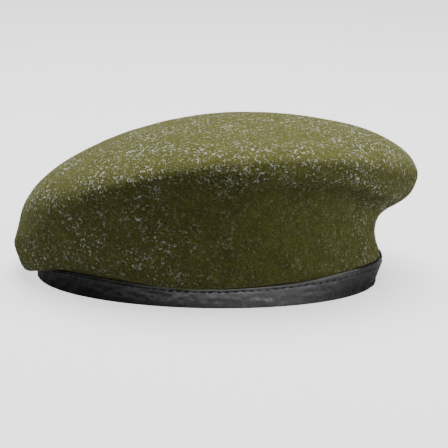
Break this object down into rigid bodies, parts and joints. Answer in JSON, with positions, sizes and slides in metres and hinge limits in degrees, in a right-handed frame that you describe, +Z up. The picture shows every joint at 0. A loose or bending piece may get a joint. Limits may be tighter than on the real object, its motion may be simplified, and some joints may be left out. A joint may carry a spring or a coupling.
{
  "type": "beret",
  "caption": "Soft brimless wool-felt cap with a flat overhanging crown, a folded leather binding with a drawstring round the head opening, and a satin lining.",
  "frame": {"origin": "centre of the head opening, in the plane of the binding's fold, on which the beret rests", "axes": "+Z up through the crown, -X the wearer's front, +X the wearer's back, -Y the wearer's left (the tall badge side), +Y the wearer's right (the side pulled down)"},
  "size_m": [0.2513, 0.1999, 0.1005],
  "materials": {
    "felt": "milled wool felt, matt, olive drab, with a short nap",
    "binding_leather": "black sheepskin, smooth grain, semi-gloss",
    "thread": "black polyester sewing thread",
    "cord": "black braided cotton cord",
    "satin": "black satin lining, soft sheen",
    "stiffener_board": "buckram board, uncoated",
    "label_satin": "off-white satin ribbon, blank",
    "label_thread": "off-white thread",
    "eyelet_enamel": "black-enamelled brass, satin"
  },
  "bodies": {
    "root": {"felt_crown": "felt", "leather_binding": "binding_leather", "binding_stitches_outer": "thread", "binding_stitches_inner": "thread", "binding_joint_stitches": "thread", "drawstring": "cord", "lining_side_panel": "satin", "lining_crown_panel": "satin", "lining_seam_stitches": "thread", "badge_stiffener": "stiffener_board", "crown_label": "label_satin", "crown_label_stitches": "label_thread", "size_tab": "label_satin", "vent_eyelet_front": "eyelet_enamel", "vent_eyelet_rear": "eyelet_enamel", "vent_washer_front": "eyelet_enamel", "vent_washer_rear": "eyelet_enamel"}
  },
  "joints": []
}
